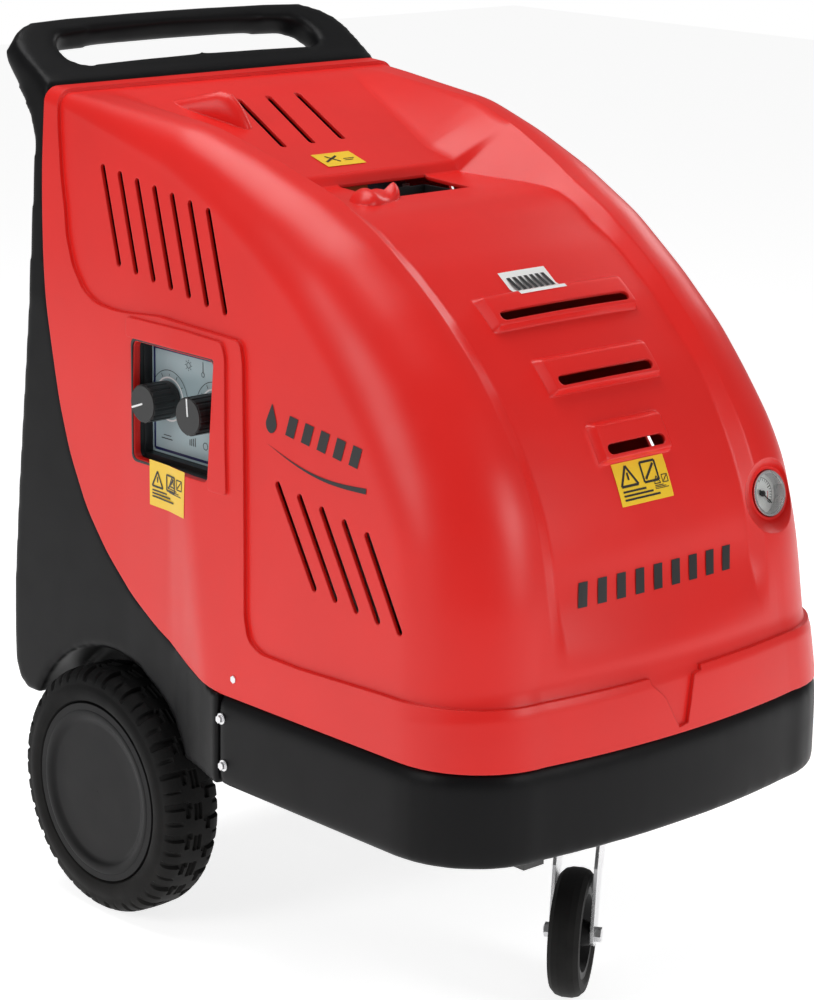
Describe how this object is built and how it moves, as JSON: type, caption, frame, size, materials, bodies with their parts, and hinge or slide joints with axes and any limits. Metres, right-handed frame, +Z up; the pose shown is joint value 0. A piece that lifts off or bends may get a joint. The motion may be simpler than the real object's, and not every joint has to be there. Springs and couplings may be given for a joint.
{
  "type": "hot-water pressure washer",
  "caption": "Wheeled hot-water pressure washer: smooth moulded hood on a black frame with a loop handle, rear wheels, a swivel caster, side controls and a front gauge.",
  "frame": {"origin": "on the floor, under the middle of the overall box", "axes": "+Z up, the machine faces -Y with the handle at +Y, the control side is -X"},
  "size_m": [0.625, 0.9076, 1.0383],
  "materials": {
    "red_shell": "satin moulded plastic, through-coloured",
    "black_shell": "satin moulded plastic",
    "tyre_rubber": "matte rubber",
    "rim_plastic": "satin moulded plastic",
    "zinc": "zinc plated, satin",
    "black_steel": "powder coat, satin",
    "motor_paint": "grey enamel",
    "brass": "machined, satin",
    "aluminium_cast": "cast, blasted",
    "sheet_steel": "aluminised sheet, satin",
    "coil_steel": "drawn tube, dull",
    "burner_paint": "enamel",
    "tank_plastic": "natural moulded plastic",
    "black_plastic": "fine-grained moulded plastic",
    "blue_plastic": "moulded plastic",
    "hose_rubber": "smooth rubber",
    "panel_film": "printed foil, satin",
    "dial_white": "printed, matt",
    "switch_grey": "moulded plastic",
    "clear_glass": "clear, polished"
  },
  "bodies": {
    "machine": {"chassis": "black_steel", "rear_frame": "black_shell", "front_bumper": "black_shell", "hood": "red_shell", "body_screws": "zinc", "axle": "zinc", "axle_retainers": "zinc", "caster_plate": "zinc", "motor_housing": "motor_paint", "fan_cowl": "motor_paint", "terminal_box": "motor_paint", "pump_crankcase": "aluminium_cast", "pump_plungers": "zinc", "pump_head": "brass", "pump_valve_caps": "brass", "unloader_valve": "brass", "boiler_jacket": "sheet_steel", "heating_coil": "coil_steel", "boiler_lid": "sheet_steel", "exhaust_duct": "black_steel", "burner_housing": "burner_paint", "burner_motor": "motor_paint", "burner_nozzle": "sheet_steel", "fuel_pump": "aluminium_cast", "ignition_transformer": "black_plastic", "fuel_tank": "tank_plastic", "detergent_tank": "tank_plastic", "control_box": "black_plastic", "control_panel": "panel_film", "rotary_switch": "switch_grey", "thermostat": "switch_grey", "gauge_case": "zinc", "gauge_dial": "dial_white", "gauge_glass": "clear_glass", "inlet_nipple": "brass", "outlet_nipple": "brass", "feed_hose": "hose_rubber", "pressure_pipes": "coil_steel", "cable_gland": "black_plastic"},
    "wheel_left": {"tyre_left": "tyre_rubber", "rim_left": "rim_plastic", "hub_cap_left": "rim_plastic"},
    "wheel_right": {"tyre_right": "tyre_rubber", "rim_right": "rim_plastic", "hub_cap_right": "rim_plastic"},
    "caster_fork_body": {"caster_fork": "zinc", "caster_bolt": "zinc"},
    "caster_wheel": {"caster_rim": "rim_plastic", "caster_tyre": "tyre_rubber"},
    "motor_shaft": {"motor_rotor": "coil_steel", "motor_fan": "black_plastic"},
    "pump_shaft": {"pump_crankshaft": "coil_steel"},
    "burner_fan_body": {"burner_fan": "aluminium_cast"},
    "unloader_knob_body": {"unloader_knob": "black_plastic"},
    "switch_knob_body": {"switch_knob": "black_plastic"},
    "thermostat_knob_body": {"thermostat_knob": "black_plastic"},
    "needle": {"gauge_needle": "black_plastic"},
    "fuel_cap_body": {"fuel_cap": "black_plastic"},
    "detergent_cap_body": {"detergent_cap": "blue_plastic"}
  },
  "joints": [
    {"name": "wheel_left_spin", "type": "hinge", "parent": "machine", "child": "wheel_left", "pos_m": [0.261, 0.2106, 0.15], "axis": [1, 0, 0], "continuous": true},
    {"name": "wheel_right_spin", "type": "hinge", "parent": "machine", "child": "wheel_right", "pos_m": [-0.261, 0.2106, 0.15], "axis": [1, 0, 0], "continuous": true},
    {"name": "caster_swivel", "type": "hinge", "parent": "machine", "child": "caster_fork_body", "pos_m": [0, -0.3032, 0.18], "axis": [0, 0, 1], "continuous": true},
    {"name": "caster_wheel_spin", "type": "hinge", "parent": "caster_fork_body", "child": "caster_wheel", "pos_m": [-0.03457, -0.32705, 0.073], "axis": [0.5678, -0.8231, 0], "continuous": true},
    {"name": "motor_spin", "type": "hinge", "parent": "machine", "child": "motor_shaft", "pos_m": [-0.1, -0.2922, 0.35], "axis": [1, 0, 0], "continuous": true},
    {"name": "pump_shaft_spin", "type": "hinge", "parent": "machine", "child": "pump_shaft", "pos_m": [0.1, -0.2922, 0.35], "axis": [1, 0, 0], "continuous": true},
    {"name": "burner_fan_spin", "type": "hinge", "parent": "machine", "child": "burner_fan_body", "pos_m": [0, 0.1288, 0.8364], "axis": [1, 0, 0], "continuous": true},
    {"name": "unloader_knob_turn", "type": "hinge", "parent": "machine", "child": "unloader_knob_body", "pos_m": [0.183, -0.2122, 0.41], "axis": [0, 0, 1], "range_deg": [0, 270]},
    {"name": "switch_knob_turn", "type": "hinge", "parent": "machine", "child": "switch_knob_body", "pos_m": [-0.27, 0.1228, 0.637], "axis": [1, 0, 0], "range_deg": [0, 90]},
    {"name": "thermostat_knob_turn", "type": "hinge", "parent": "machine", "child": "thermostat_knob_body", "pos_m": [-0.27, 0.0408, 0.637], "axis": [1, 0, 0], "range_deg": [0, 270]},
    {"name": "gauge_needle_swing", "type": "hinge", "parent": "machine", "child": "needle", "pos_m": [0.212, -0.3762, 0.551], "axis": [0, 0.9703, -0.2419], "range_deg": [0, 270], "stiffness_Nm_per_rad": 0.0002},
    {"name": "fuel_cap_lift", "type": "slide", "parent": "machine", "child": "fuel_cap_body", "axis": [0, 0.7071, 0.7071], "range_m": [0, 0.06]},
    {"name": "detergent_cap_lift", "type": "slide", "parent": "machine", "child": "detergent_cap_body", "axis": [0, 0.7071, 0.7071], "range_m": [0, 0.06]}
  ],
  "couplings": [
    {"joint": "pump_shaft_spin", "follows": "motor_spin", "ratio": 1}
  ]
}
